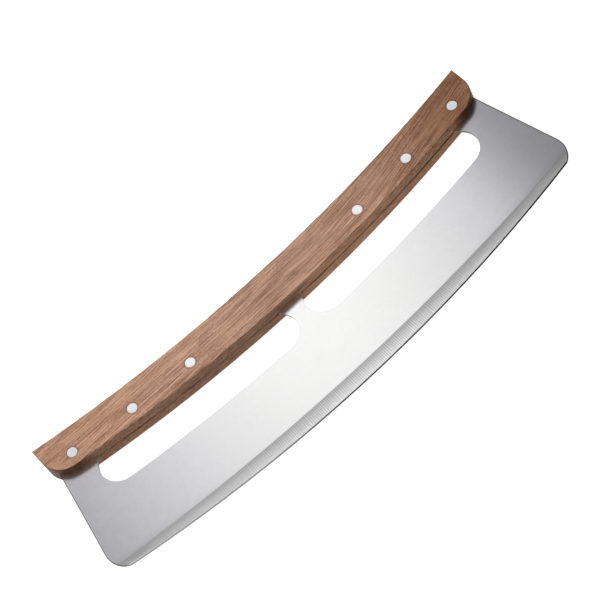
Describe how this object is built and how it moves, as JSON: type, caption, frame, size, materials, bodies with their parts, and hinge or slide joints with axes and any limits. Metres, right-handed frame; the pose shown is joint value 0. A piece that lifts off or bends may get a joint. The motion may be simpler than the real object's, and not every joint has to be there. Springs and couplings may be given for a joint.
{
  "type": "rocking pizza knife",
  "caption": "Wide rocking knife for cutting pizza: a steel blade with a curved edge and finger windows, held along its top between wooden scales by flush rivets.",
  "frame": {"origin": "middle of the grip at mid length, on the rear scale's flat outer face, which the knife lies on", "axes": "+X along the knife to the picture's upper right, +Y from the cutting edge towards the top of the handle, +Z out of the front face towards the viewer"},
  "size_m": [0.355, 0.1145, 0.0149],
  "materials": {
    "blade_steel": "satin brushed stainless steel",
    "scale_wood": "oiled mid-brown hardwood",
    "rivet_metal": "bright sanded flush"
  },
  "bodies": {
    "root": {"blade": "blade_steel", "front_scale": "scale_wood", "rear_scale": "scale_wood", "rivet_tube_1": "rivet_metal", "rivet_tube_2": "rivet_metal", "rivet_tube_3": "rivet_metal", "rivet_tube_4": "rivet_metal", "rivet_tube_5": "rivet_metal", "rivet_tube_6": "rivet_metal", "rivet_pin_1": "rivet_metal", "rivet_pin_2": "rivet_metal", "rivet_pin_3": "rivet_metal", "rivet_pin_4": "rivet_metal", "rivet_pin_5": "rivet_metal", "rivet_pin_6": "rivet_metal"}
  },
  "joints": []
}
